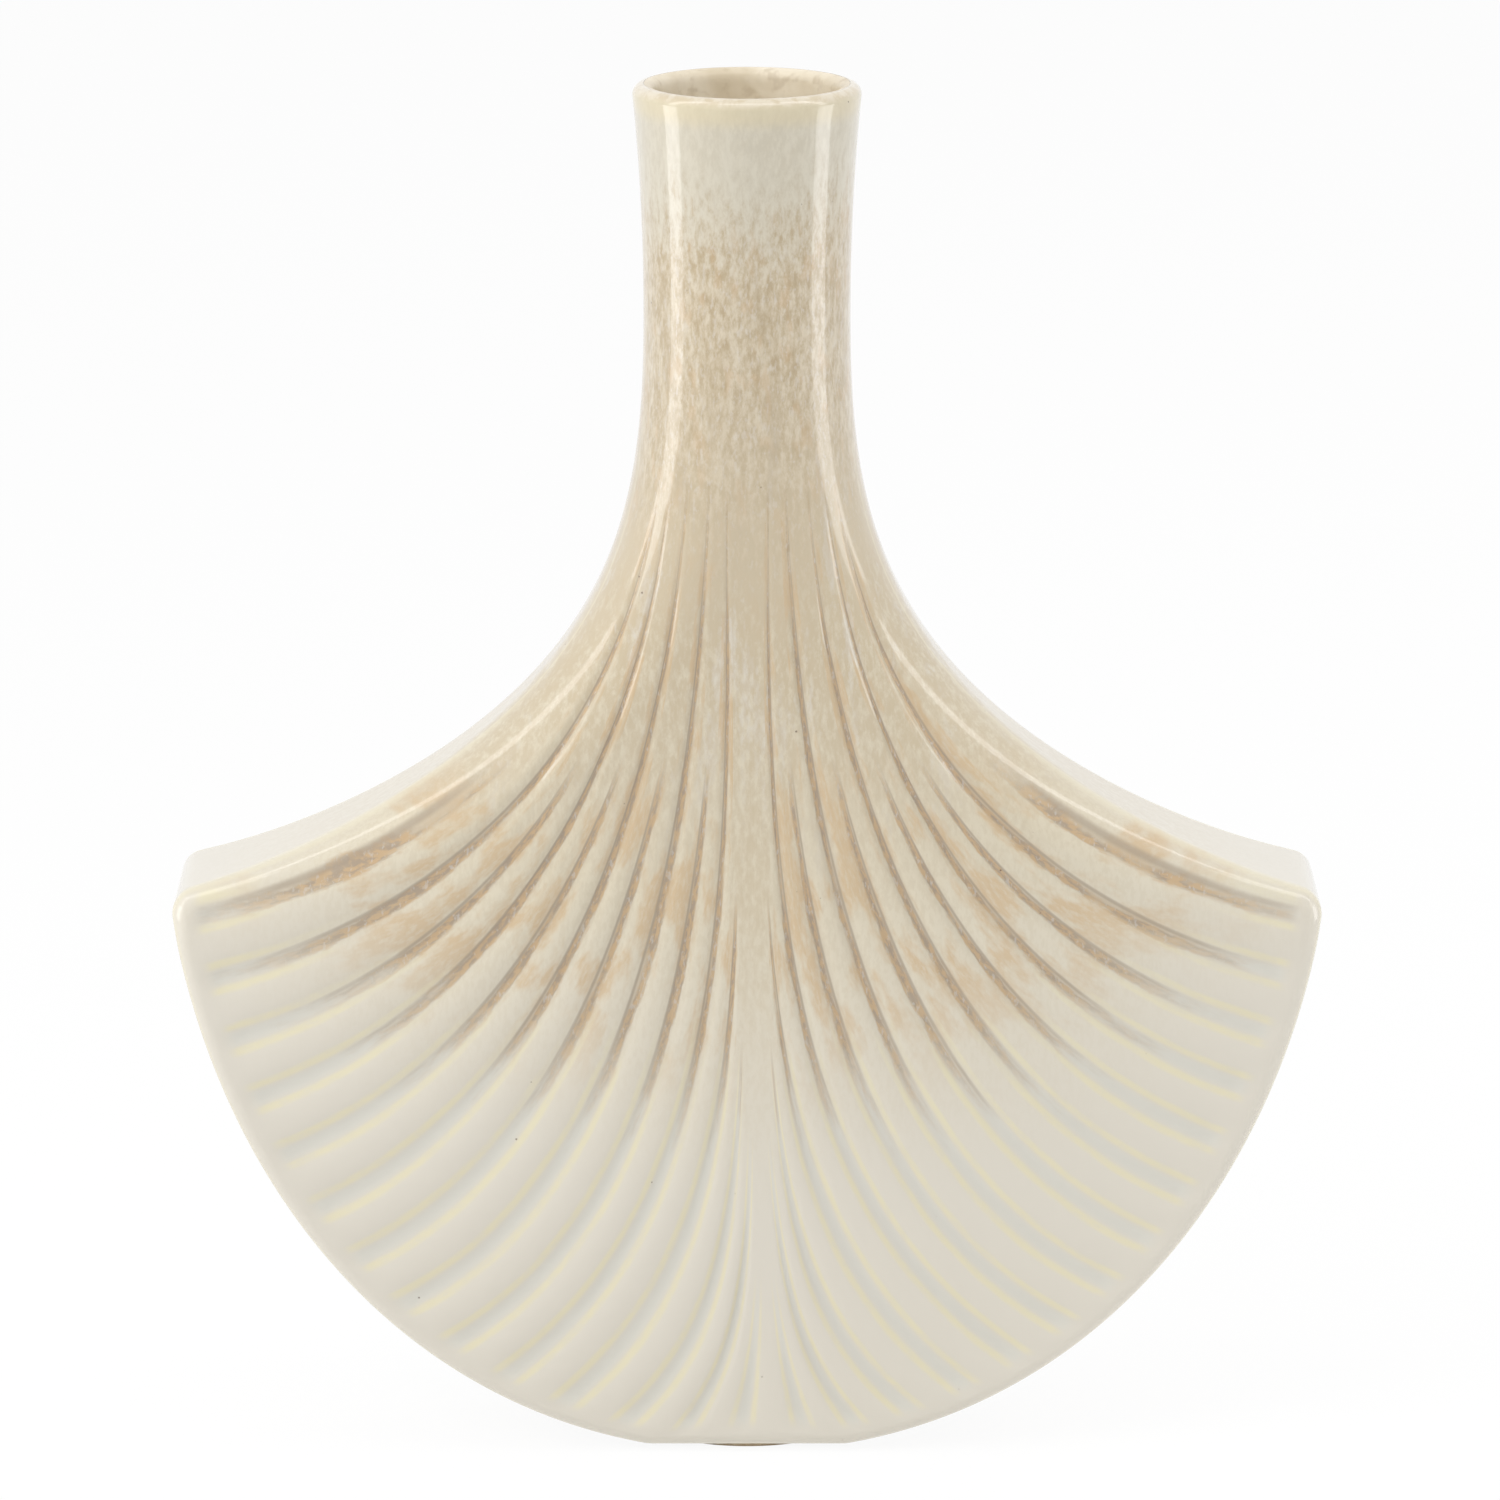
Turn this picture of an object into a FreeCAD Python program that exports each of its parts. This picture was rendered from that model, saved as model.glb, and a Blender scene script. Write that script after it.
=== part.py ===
import FreeCAD, Part
import math
import os

from FreeCAD import Vector

# Fan vase: a flat, fan-shaped body with pleats that run down from a round neck.
# Z is up, X runs along the fan and Y through its depth. The origin is under the middle of the foot.

# Overall sizes in millimetres. The tip is where shoulder and rim would meet with no rounding.
height = 300.0
tip_half_width = 125.6
tip_height = 125.2
neck_length = 49.0
neck_radius = 22.4
mouth_radius = 24.7

# Clay wall, and the glaze fused to both of its sides. The gap keeps the layers from overlapping.
clay_wall = 3.8
glaze_thickness = 0.5
bond_gap = 0.05

# Rounding of the body's edges, and of its two tips as seen from the front.
tip_corner_radius = 6.0
tip_edge_radius = 5.0
rim_edge_radius = 3.0
cavity_corner_radius = 3.0
cavity_edge_radius = 2.5
edge_blend_length = 12.0
shoulder_round_start = 25.0

# Bare clay foot: a flat oval pad that the vase stands on.
foot_height = 1.0
foot_half_width = 22.0
foot_half_depth = 19.0
foot_chamfer = 0.4
foot_clearance = 0.15

# Pleats: grooves in each face, as many in the left half as in the right.
grooves_per_half = 14
groove_depth = 1.0
ridge_crown = 0.3
full_depth_pitch = 7.0
groove_width_share = 0.82
narrow_groove_width_share = 0.95
first_groove_share = 0.041
last_groove_share = 0.977
edge_groove_share = 0.8
axis_lean = 6.0
long_groove_top = 214.0
short_groove_top = 152.0
groove_fade_length = 34.0
rim_fade_length = 5.0

# Heights at which the grooves nearest the axis begin, counted outwards.
axis_groove_tops = (36.0, 68.0, 88.0, 122.0)

# Shoulder: a curve of degree four from the base of the neck to the tip. The shares say how far
# each of its control points has gone outwards and downwards.
shoulder_out_shares = (0.0, 0.0, 0.062, 0.664, 1.0)
shoulder_down_shares = (0.0, 0.42, 0.692, 0.944, 1.0)

# Rim: a cubic curve from the tip to the middle of the base. The foot cuts off its lowest part.
rim_dip = 0.9
rim_out_shares = (1.0, 0.931, 0.568, 0.0)
rim_up_shares = (1.0, 0.464, 0.0, 0.0)

# Pleat lines, listed by the share of the rim at which they end: the share of a quarter turn at
# which each leaves the neck, its two handles as shares of the neck's height and of the half
# width, and its slope at the rim in degrees.
line_rim_shares = (0.0, 0.15, 0.3, 0.45, 0.6, 0.75, 0.9, 1.0)
line_neck_shares = (0.0, 0.05, 0.12, 0.2, 0.33, 0.44, 0.5, 0.52)
line_upper_shares = (0.85, 0.775, 0.44, 0.4, 0.46, 0.46, 0.43, 0.43)
line_lower_shares = (0.29, 0.33, 0.59, 0.54, 0.42, 0.34, 0.3, 0.16)
line_end_slopes = (90.0, 42.0, 34.0, 23.0, 20.0, 16.0, 12.0, 12.0)

# How finely the surfaces are divided: places across one pleat, columns on the rounded edge and
# on the side wall, rows close to the rim, down the pleats, up the neck and round the lip.
pleat_place_shares = (-0.5, -0.3, -0.12, 0.0, 0.12, 0.3)
edge_neck_share = 0.8
edge_columns = 10
wall_columns = 5
rim_rows = 7
rim_rows_length = 3.4
line_rows = 36
neck_rows = 10
lip_rows = 6
cavity_columns = 20
cavity_line_rows = 22
outline_steps = 120
corner_steps = 24
search_stride = 8
pitches_beside = 4
curve_step = 0.0001
degree = 3

quarter_turn = math.pi / 2
neck_base_height = height - neck_length
clay_offset = glaze_thickness + bond_gap
cavity_inset = clay_offset + clay_wall
wall_total = cavity_inset + clay_offset
lip_radius = wall_total / 2
lip_ring_radius = mouth_radius - lip_radius
lip_height = height - lip_radius
groove_pitch_share = (last_groove_share - first_groove_share) / (grooves_per_half - 1)
wall_turn = (1.0 - edge_neck_share) * quarter_turn


def mix(start, end, share):
    return start + (end - start) * share


def smooth(share):
    """Rise from 0 to 1 with level ends."""
    share = min(max(share, 0.0), 1.0)
    return share * share * (3.0 - 2.0 * share)


def read_list(entries, place):
    """Read a list of number tuples at a place between two of its entries."""
    index = min(int(place), len(entries) - 2)
    return tuple(mix(a, b, place - index) for a, b in zip(entries[index], entries[index + 1]))


def bezier(points, share):
    """Point of a Bezier curve, by repeated mixing of its control points."""
    while len(points) > 1:
        pairs = zip(points, points[1:])
        points = [(mix(a[0], b[0], share), mix(a[1], b[1], share)) for a, b in pairs]
    return points[0]


def table_value(values, place):
    """Smooth curve through a table of the pleat lines, read at a share of the rim."""
    places = line_rim_shares
    last = len(places) - 1
    index = 0
    while index < last - 1 and place > places[index + 1]:
        index += 1
    span = places[index + 1] - places[index]
    share = (place - places[index]) / span
    slopes = []
    for entry in (index, index + 1):
        before = max(entry - 1, 0)
        after = min(entry + 1, last)
        slopes.append((values[after] - values[before]) / (places[after] - places[before]))
    rise = mix(values[index], values[index + 1], smooth(share))
    bend = span * share * (1.0 - share)
    return rise + bend * (slopes[0] * (1.0 - share) - slopes[1] * share)


last_groove_neck_share = table_value(line_neck_shares, last_groove_share)


def shoulder_point(share):
    shares = zip(shoulder_out_shares, shoulder_down_shares)
    points = [
        (mix(neck_radius, tip_half_width, out), mix(neck_base_height, tip_height, down))
        for out, down in shares
    ]
    return bezier(points, share)


def rim_point(share):
    shares = zip(rim_out_shares, rim_up_shares)
    points = [(tip_half_width * out, mix(-rim_dip, tip_height, up)) for out, up in shares]
    return bezier(points, share)


def inset_point(curve, share, inset):
    """Point of an outline curve moved into the body, with the outward direction there."""
    before = curve(share - curve_step)
    after = curve(share + curve_step)
    along_x = after[0] - before[0]
    along_z = after[1] - before[1]
    length = math.hypot(along_x, along_z)
    out_x = -along_z / length
    out_z = along_x / length
    x, z = curve(share)
    return (x - out_x * inset, z - out_z * inset, out_x, out_z)


def corner_shares(inset):
    """Where the shoulder and the rim, both moved in by an inset, cross each other."""
    shoulder_share = 1.0
    rim_share = 0.0
    for _ in range(corner_steps):
        ax, az = inset_point(shoulder_point, shoulder_share, inset)[:2]
        bx, bz = inset_point(rim_point, rim_share, inset)[:2]
        a_next = inset_point(shoulder_point, shoulder_share + curve_step, inset)
        b_next = inset_point(rim_point, rim_share + curve_step, inset)
        ux = (a_next[0] - ax) / curve_step
        uz = (a_next[1] - az) / curve_step
        vx = (b_next[0] - bx) / curve_step
        vz = (b_next[1] - bz) / curve_step
        determinant = ux * vz - uz * vx
        shoulder_share += ((bx - ax) * vz - (bz - az) * vx) / determinant
        rim_share += ((bx - ax) * uz - (bz - az) * ux) / determinant
    return shoulder_share, rim_share


class Run:
    """A line of points that can be read at any length along it."""

    def __init__(self, points):
        self.points = points
        self.lengths = [0.0]
        for a, b in zip(points, points[1:]):
            self.lengths.append(self.lengths[-1] + math.hypot(b[0] - a[0], b[1] - a[1]))
        self.total = self.lengths[-1]

    def at(self, length):
        length = min(max(length, 0.0), self.total)
        low = 0
        high = len(self.lengths) - 1
        while high - low > 1:
            middle = (low + high) // 2
            if self.lengths[middle] <= length:
                low = middle
            else:
                high = middle
        share = (length - self.lengths[low]) / (self.lengths[high] - self.lengths[low])
        return tuple(mix(a, b, share) for a, b in zip(self.points[low], self.points[high]))


class Place:
    """One point of the front surface, its outward direction and the depth of the pleats there."""

    def __init__(self, x, y, z, out, relief=0.0):
        self.point = Vector(x, y, z)
        self.out = out
        self.relief = relief

    def moved(self, inwards, mirror):
        point = self.point - self.out * (inwards + self.relief)
        return Vector(point.x, point.y * mirror, point.z)


def groove_relief(rim_share, edge_share, pitch, z, rim_distance):
    """How deep the pleat pattern lies below the plain face, less where the pleats crowd."""
    place = (rim_share - first_groove_share) / groove_pitch_share
    groove = min(max(round(place), 0), grooves_per_half - 1)
    across = abs(place - groove) if edge_share == 0.0 else edge_share * edge_groove_share
    if groove < len(axis_groove_tops):
        top = axis_groove_tops[groove]
    elif (groove - len(axis_groove_tops)) % 2 == 0:
        top = long_groove_top
    else:
        top = short_groove_top
    begun = smooth((top - z) / groove_fade_length)
    kept = smooth((rim_distance - rim_rows_length) / rim_fade_length)
    grown = min(pitch / full_depth_pitch, 1.0)
    width_share = mix(narrow_groove_width_share, groove_width_share, grown)
    channel = 1.0 - smooth(2.0 * across / width_share)
    crown = max(1.0 - 2.0 * across, 0.0) ** 2
    return (groove_depth * channel + ridge_crown * crown) * begun * kept * grown


def neck_place(side, turn_share, rise_share, inset):
    """Point on the flared neck, from its base at rise 0 to where the lip begins at rise 1."""
    turn = turn_share * quarter_turn
    out = Vector(side * math.sin(turn), -math.cos(turn), 0.0)
    radius = mix(neck_radius, mouth_radius, rise_share * rise_share) - inset
    z = mix(neck_base_height, lip_height, rise_share)
    return Place(radius * out.x, radius * out.y, z, out)


def lip_place(side, turn_share, lip_share, inside):
    """Point on the rounded lip, from the neck at share 0 to just short of its crown at share 1."""
    turn = turn_share * quarter_turn
    tilt = lip_share * (quarter_turn - bond_gap / lip_radius)
    facing = -1.0 if inside else 1.0
    arc_radius = lip_radius - clay_offset if inside else lip_radius
    level = facing * math.cos(tilt)
    radius = lip_ring_radius + arc_radius * level
    z = lip_height + arc_radius * math.sin(tilt)
    out = Vector(side * math.sin(turn) * level, -math.cos(turn) * level, math.sin(tilt)) * facing
    return Place(side * radius * math.sin(turn), -radius * math.cos(turn), z, out)


class Form:
    """The flat body, moved in by an inset: its half outline and the roundness of its edge."""

    def __init__(self, inset, corner_radius, least_edge_radius, pleated):
        self.inset = inset
        self.least_edge_radius = least_edge_radius
        self.pleated = pleated
        self.half_depth = neck_radius - inset
        self.floor = foot_height + inset
        shoulder_share, rim_share = corner_shares(inset + corner_radius)
        x, z, out_x, out_z = inset_point(shoulder_point, shoulder_share, inset + corner_radius)
        start_turn = math.atan2(out_z, out_x)
        out_x, out_z = inset_point(rim_point, rim_share, inset)[2:]
        end_turn = math.atan2(out_z, out_x)
        corner = []
        for step in range(corner_steps + 1):
            turn = mix(start_turn, end_turn, step / corner_steps)
            out = (math.cos(turn), math.sin(turn))
            corner.append((x + corner_radius * out[0], z + corner_radius * out[1]) + out)
        middle = corner_steps // 2
        self.tip = corner[middle]
        shoulder = []
        rim = []
        for step in range(outline_steps):
            share = shoulder_share * step / outline_steps
            shoulder.append(inset_point(shoulder_point, share, inset))
            share = mix(rim_share, 1.0, (step + 1) / outline_steps)
            x, z, out_x, out_z = inset_point(rim_point, share, inset)
            if z < self.floor:
                z, out_x, out_z = self.floor, 0.0, -1.0
            rim.append((x, z, out_x, out_z))
        shoulder = [self.with_edge_radius(p, True) for p in shoulder + corner[: middle + 1]]
        rim = [self.with_edge_radius(p, False) for p in corner[middle:] + rim]
        self.outline = shoulder + rim[1:]
        self.shoulder = Run(shoulder)
        self.rim = Run(rim[::-1])

    def with_edge_radius(self, outline_point, on_shoulder):
        """Add how round the edge is: as the neck at the top, tighter at the tip and the rim."""
        x, z = outline_point[:2]
        if on_shoulder:
            start = shoulder_round_start - self.inset
            share = min(max((x - start) / (self.tip[0] - start), 0.0), 1.0)
            radius = mix(neck_radius, tip_edge_radius, share)
        else:
            away = math.hypot(x - self.tip[0], z - self.tip[1])
            radius = mix(tip_edge_radius, rim_edge_radius, smooth(away / edge_blend_length))
        radius = min(max(radius - self.inset, self.least_edge_radius), self.half_depth)
        return outline_point + (radius,)

    def nearest(self, x, z):
        """Distance to the outline, with the outward direction and the edge's radius there."""
        outline = self.outline
        last = len(outline) - 1

        def squared(index):
            return (outline[index][0] - x) ** 2 + (outline[index][1] - z) ** 2

        best = min(range(0, last + 1, search_stride), key=squared)
        near = range(max(best - search_stride, 0), min(best + search_stride, last) + 1)
        best = min(near, key=squared)
        found = []
        for index in range(max(best - 1, 0), min(best + 1, last)):
            a = outline[index]
            b = outline[index + 1]
            span = (b[0] - a[0]) ** 2 + (b[1] - a[1]) ** 2
            share = ((x - a[0]) * (b[0] - a[0]) + (z - a[1]) * (b[1] - a[1])) / span
            share = min(max(share, 0.0), 1.0)
            on_line = [mix(p, q, share) for p, q in zip(a, b)]
            distance = math.hypot(on_line[0] - x, on_line[1] - z)
            found.append((distance, on_line[2], on_line[3], on_line[4]))
        return min(found)

    def face_place(self, x, z, relief):
        """Point of the front face, its depth taken from how near the outline is."""
        side = -1.0 if x < 0.0 else 1.0
        distance, out_x, out_z, radius = self.nearest(side * x, z)
        if distance >= radius:
            return Place(x, -self.half_depth, z, Vector(0.0, -1.0, 0.0), relief)
        turn = math.acos((radius - distance) / radius)
        y = radius - self.half_depth - radius * math.sin(turn)
        out = Vector(side * out_x * math.cos(turn), -math.sin(turn), out_z * math.cos(turn))
        return Place(x, y, z, out, relief)

    def wall_place(self, side, outline_point, share):
        """Point of the side wall, from the middle plane at share 0 to the face at share 1."""
        x, z, out_x, out_z, radius = outline_point
        wall = self.half_depth - radius
        turn = wall_turn * (1.0 - smooth(wall / (2.0 * neck_radius * wall_turn)))
        length = share * (wall + radius * turn)
        turned = max(length - wall, 0.0) / radius
        inwards = radius * (1.0 - math.cos(turned))
        y = -min(length, wall) - radius * math.sin(turned)
        out = Vector(side * out_x * math.cos(turned), -math.sin(turned), out_z * math.cos(turned))
        return Place(side * (x - out_x * inwards), y, z - out_z * inwards, out)

    def rim_at(self, side, rim_share):
        """Point of the rim at a share of the way from the pleats' axis to the tip."""
        lean = side * axis_lean
        length = lean + (self.rim.total - lean) * rim_share
        bottom = self.rim.at(max(length, 0.0))
        return (bottom[0] + min(length, 0.0),) + bottom[1:]

    def shoulder_at(self, rows, place):
        """Point of the shoulder at a place in the list of rows."""
        fixed, share = read_list(rows, place)
        return self.shoulder.at((self.shoulder.total - rim_rows_length) * (1.0 - share)
                                + rim_rows_length - fixed)

    def lean_at(self, z):
        """How far the pleats' axis lies to the right at a height."""
        down = (neck_base_height - z) / (neck_base_height - self.floor)
        return axis_lean * down * down

    def pleat_line(self, side, rim_share, neck_share):
        """One pleat line from the base of the neck to the rim."""
        start_x = self.half_depth * math.sin(neck_share * quarter_turn)
        end_x, end_z = self.rim_at(side, rim_share)[:2]
        end_x -= side * self.lean_at(end_z)
        slope = math.radians(table_value(line_end_slopes, rim_share))
        upper = neck_base_height * table_value(line_upper_shares, rim_share)
        lower = tip_half_width * table_value(line_lower_shares, rim_share)
        points = [
            (start_x, neck_base_height),
            (start_x, neck_base_height - upper),
            (end_x - lower * math.cos(slope), end_z + lower * math.sin(slope)),
            (end_x, end_z),
        ]
        curve = [bezier(points, step / outline_steps) for step in range(outline_steps + 1)]
        return Run([(x + side * self.lean_at(z), z) for x, z in curve])

    def column_shares(self):
        """Rim share, neck share and edge share of each column, from the axis out to the edge."""
        if self.pleated:
            places = [g + place for g in range(grooves_per_half) for place in pleat_place_shares]
            shares = [first_groove_share + place * groove_pitch_share for place in places]
            shares = [share for share in shares if 0.0 < share < last_groove_share]
        else:
            shares = [last_groove_share * c / cavity_columns for c in range(1, cavity_columns)]
        shares = [0.0] + shares + [last_groove_share]
        columns = [(share, table_value(line_neck_shares, share), 0.0) for share in shares]
        for column in range(1, edge_columns + 1):
            share = column / edge_columns
            rim_share = mix(last_groove_share, 1.0, 1.0 - (1.0 - share) ** 2)
            columns.append((rim_share, mix(last_groove_neck_share, edge_neck_share, share), share))
        return columns

    def row_shares(self):
        """Rows from the neck to the rim: a fixed length plus a share of the line's other length."""
        count = line_rows if self.pleated else cavity_line_rows
        rows = [(rim_rows_length, 1.0 - row / count) for row in range(count)]
        for row in range(rim_rows + 1):
            rows.append((rim_rows_length * (1.0 - row / rim_rows) ** 2, 0.0))
        return rows

    def face_column(self, side, column, rows, edge_line):
        """Places of one column of the front face, from the base of the neck to the rim."""
        rim_share, neck_share, edge_share = column
        inner_x = math.sin(last_groove_neck_share * quarter_turn)
        outer_x = math.sin(edge_neck_share * quarter_turn)
        neck_part = (math.sin(neck_share * quarter_turn) - inner_x) / (outer_x - inner_x)
        rim_part = (rim_share - last_groove_share) / (1.0 - last_groove_share)
        line = edge_line if edge_share > 0.0 else self.pleat_line(side, rim_share, neck_share)
        inwards = -1.0 if rim_share > groove_pitch_share else 1.0
        beside_share = min(rim_share, last_groove_share) + inwards * groove_pitch_share / pitches_beside
        beside_neck_share = table_value(line_neck_shares, beside_share)
        neighbour = self.pleat_line(side, beside_share, beside_neck_share)
        on_rim = self.rim_at(side, rim_share)
        line_end = line.at(line.total)
        places = [neck_place(side, neck_share, 0.0, self.inset)]
        for row, (fixed, share) in enumerate(rows[1:-1], 1):
            distance = fixed + share * (line.total - rim_rows_length)
            line_x, line_z = line.at(line.total - distance)
            x, z = line_x, line_z
            if edge_share > 0.0:
                edge = self.wall_place(1.0, self.shoulder_at(rows, row), 1.0).point
                part = mix(rim_part, neck_part, smooth(2.0 * share - 1.0))
                kept = 1.0 - smooth(distance / edge_blend_length)
                x = mix(x, edge.x, part) + (on_rim[0] - mix(line_end[0], self.tip[0], rim_part)) * kept
                z = mix(z, edge.z, part) + (on_rim[1] - mix(line_end[1], self.tip[1], rim_part)) * kept
            relief = 0.0
            if self.pleated:
                beside = neighbour.at(neighbour.total * (1.0 - distance / line.total))
                pitch = pitches_beside * math.hypot(beside[0] - line_x, beside[1] - line_z)
                relief = groove_relief(rim_share, edge_share, pitch, z, distance)
            places.append(self.face_place(side * x, z, relief))
        places.append(self.wall_place(side, on_rim, 1.0))
        return places

    def half(self, side, above):
        """Columns of places from the axis to the middle plane. The function gives those above the body."""
        shares = self.column_shares()
        rows = self.row_shares()
        edge_line = self.pleat_line(side, last_groove_share, last_groove_neck_share)
        last_column = len(shares) - 1
        last_row = len(rows) - 1
        grid = []
        for column in range(last_column + wall_columns + 1):
            over = max(column - last_column, 0)
            places = []
            turn_share = mix(edge_neck_share, 1.0, over / wall_columns)
            if column < last_column:
                places = self.face_column(side, shares[column], rows, edge_line)
                turn_share = shares[column][1]
            for row in range(len(places), last_row + wall_columns + 1):
                under = max(row - last_row, 0)
                if row == 0:
                    places.append(neck_place(side, turn_share, 0.0, self.inset))
                elif over >= under:
                    edge = self.shoulder_at(rows, row * last_row / (last_row + over))
                    places.append(self.wall_place(side, edge, 1.0 - over / wall_columns))
                else:
                    rim_share = read_list(shares, column * last_column / (last_column + under))[0]
                    edge = self.rim_at(side, rim_share)
                    places.append(self.wall_place(side, edge, 1.0 - under / wall_columns))
            grid.append(above(side, turn_share) + places)
        return grid

    def front(self, above):
        return self.half(-1.0, above)[:0:-1] + self.half(1.0, above)


def nothing_above(side, turn_share):
    return []


def outside_above(side, turn_share):
    """Places of one column of the outside, from the lip's crown down to the base of the neck."""
    lip = [lip_place(side, turn_share, 1.0 - row / lip_rows, False) for row in range(lip_rows)]
    neck = [neck_place(side, turn_share, 1.0 - row / neck_rows, 0.0) for row in range(neck_rows)]
    return lip + neck


def inside_above(side, turn_share):
    """Places of one column of the inside, from the lip's crown down to the base of the bore."""
    lip = [lip_place(side, turn_share, 1.0 - row / lip_rows, True) for row in range(lip_rows)]
    rises = [1.0 - row / neck_rows for row in range(neck_rows)]
    return lip + [neck_place(side, turn_share, rise, cavity_inset) for rise in rises]


def broken(count, breaks):
    """Knots of one direction of a surface, and the spans between the places where it is divided."""
    last = count - degree
    stops = [0] + [place - 1 for place in breaks] + [last]
    return list(range(last + 1)), list(zip(stops, stops[1:]))


def patch(columns, above_rows, inwards, mirror):
    """Faces of one smooth surface controlled by a grid of places moved inwards.

    The surface is divided where the side wall, the rounded edge and the pleated field meet, and
    where the neck and the lip begin.
    """
    poles = [[place.moved(inwards, mirror) for place in places] for places in columns]
    across = len(poles)
    along = len(poles[0])
    wall = wall_columns
    edge = wall_columns + edge_columns
    column_breaks = [wall, edge, across - 1 - edge, across - 1 - wall]
    row_breaks = [along - 1 - wall - rim_rows, along - 1 - wall]
    if above_rows:
        row_breaks = [lip_rows, above_rows] + row_breaks
    column_knots, column_spans = broken(across, column_breaks)
    row_knots, row_spans = broken(along, row_breaks)
    surface = Part.BSplineSurface()
    surface.buildFromPolesMultsKnots(
        poles,
        [degree + 1] + [1] * (across - degree - 1) + [degree + 1],
        [degree + 1] + [1] * (along - degree - 1) + [degree + 1],
        column_knots,
        row_knots,
        False,
        False,
        degree,
        degree,
    )
    faces = []
    for left, right in column_spans:
        for upper, lower in row_spans:
            piece = surface.copy()
            piece.segment(left, right, upper, lower)
            faces.append(piece.toShape())
    return faces


def edges_in(faces, low, high):
    """Edges of some faces that lie inside a box between two corners."""
    room = FreeCAD.BoundBox(low, high)
    room.enlarge(bond_gap)
    return [edge for face in faces for edge in face.Edges if room.isInside(edge.BoundBox)]


def closed_solid(faces):
    """Sew faces that meet edge to edge into one solid."""
    shape = Part.Compound(faces)
    shape.sewShape()
    solid = Part.makeSolid(shape.Shells[0])
    if solid.Volume < 0.0:
        solid.reverse()
    return solid


def half_shell(outside, inside, mirror):
    """Solid between two surfaces that are open towards the middle plane and the neck."""
    faces = patch(outside, 0, clay_offset, mirror) + patch(inside, 0, 0.0, mirror)
    bridges = []
    for side in (-1.0, 1.0):
        far = Vector(side * (neck_radius - clay_offset), 0.0, neck_base_height)
        near = Vector(side * (neck_radius - cavity_inset), 0.0, neck_base_height)
        bridges.append(Part.makeLine(far, near))
    seam = edges_in(
        faces, Vector(-tip_half_width, 0.0, 0.0), Vector(tip_half_width, 0.0, neck_base_height)
    )
    ring = edges_in(
        faces,
        Vector(-neck_radius, -neck_radius, neck_base_height),
        Vector(neck_radius, neck_radius, neck_base_height),
    )
    for edges in (seam, ring):
        faces.append(Part.Face(Part.Wire(Part.sortEdges(edges + bridges)[0])))
    return closed_solid(faces)


def glaze_layer(columns, near, far):
    """Thin layer between two offsets of one surface, closed by a ring at the lip's crown."""
    faces = []
    for mirror in (1.0, -1.0):
        rings = []
        for inwards in (near, far):
            surface_faces = patch(columns, lip_rows + neck_rows, inwards, mirror)
            top = max(face.BoundBox.ZMax for face in surface_faces)
            rings.append(edges_in(
                surface_faces,
                Vector(-mouth_radius, -mouth_radius, top),
                Vector(mouth_radius, mouth_radius, top),
            ))
            faces += surface_faces
        for near_edge, far_edge in zip(*rings):
            faces.append(Part.makeRuledSurface(near_edge, far_edge))
    return closed_solid(faces)


def clay_neck():
    """Turned tube: flared outside and inside, joined by a rounded lip."""
    outer_base = neck_radius - clay_offset
    inner_base = neck_radius - cavity_inset
    outer_mouth = mouth_radius - clay_offset
    inner_mouth = mouth_radius - cavity_inset
    middle = (neck_base_height + lip_height) / 2
    crown = Vector(lip_ring_radius, 0.0, lip_height + lip_radius - clay_offset)
    edges = [Part.Arc(Vector(outer_mouth, 0.0, lip_height), crown,
                      Vector(inner_mouth, 0.0, lip_height)).toShape()]
    for base, mouth in ((outer_base, outer_mouth), (inner_base, inner_mouth)):
        curve = Part.BezierCurve()
        curve.setPoles([
            Vector(base, 0.0, neck_base_height),
            Vector(base, 0.0, middle),
            Vector(mouth, 0.0, lip_height),
        ])
        edges.append(curve.toShape())
    edges.append(Part.makeLine(
        Vector(outer_base, 0.0, neck_base_height), Vector(inner_base, 0.0, neck_base_height)
    ))
    profile = Part.Face(Part.Wire(Part.sortEdges(edges)[0]))
    return profile.revolve(Vector(0.0, 0.0, 0.0), Vector(0.0, 0.0, 1.0), 360.0)


def oval_prism(margin, bottom, top):
    """Upright prism over the foot's oval, widened by a margin."""
    centre = Vector(0.0, 0.0, bottom)
    oval = Part.Ellipse(centre, foot_half_width + margin, foot_half_depth + margin)
    return Part.Face(Part.Wire([oval.toShape()])).extrude(Vector(0.0, 0.0, top - bottom))


def clay_foot():
    """Oval pad with its lower edge bevelled."""
    pad = oval_prism(0.0, 0.0, foot_height + clay_offset)
    lower_edge = min(pad.Edges, key=lambda edge: edge.BoundBox.ZMax)
    return pad.makeChamfer(foot_chamfer, [lower_edge])


body = Form(0.0, tip_corner_radius, rim_edge_radius, True)
cavity = Form(cavity_inset, cavity_corner_radius, cavity_edge_radius, False)
body_outside = body.front(nothing_above)
cavity_inside = cavity.front(nothing_above)
foot_opening = oval_prism(foot_clearance, 0.0, foot_height + cavity_inset)

nodes = {
    "neck": clay_neck(),
    "front_shell": half_shell(body_outside, cavity_inside, 1.0),
    "rear_shell": half_shell(body_outside, cavity_inside, -1.0),
    "foot": clay_foot(),
    "outer_glaze": glaze_layer(body.front(outside_above), 0.0, glaze_thickness).cut(foot_opening),
    "inner_glaze": glaze_layer(cavity.front(inside_above), bond_gap, clay_offset),
}

os.makedirs("parts", exist_ok=True)
for name, shape in nodes.items():
    shape.exportStep("parts/" + name + ".step")
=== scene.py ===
import math

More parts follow.
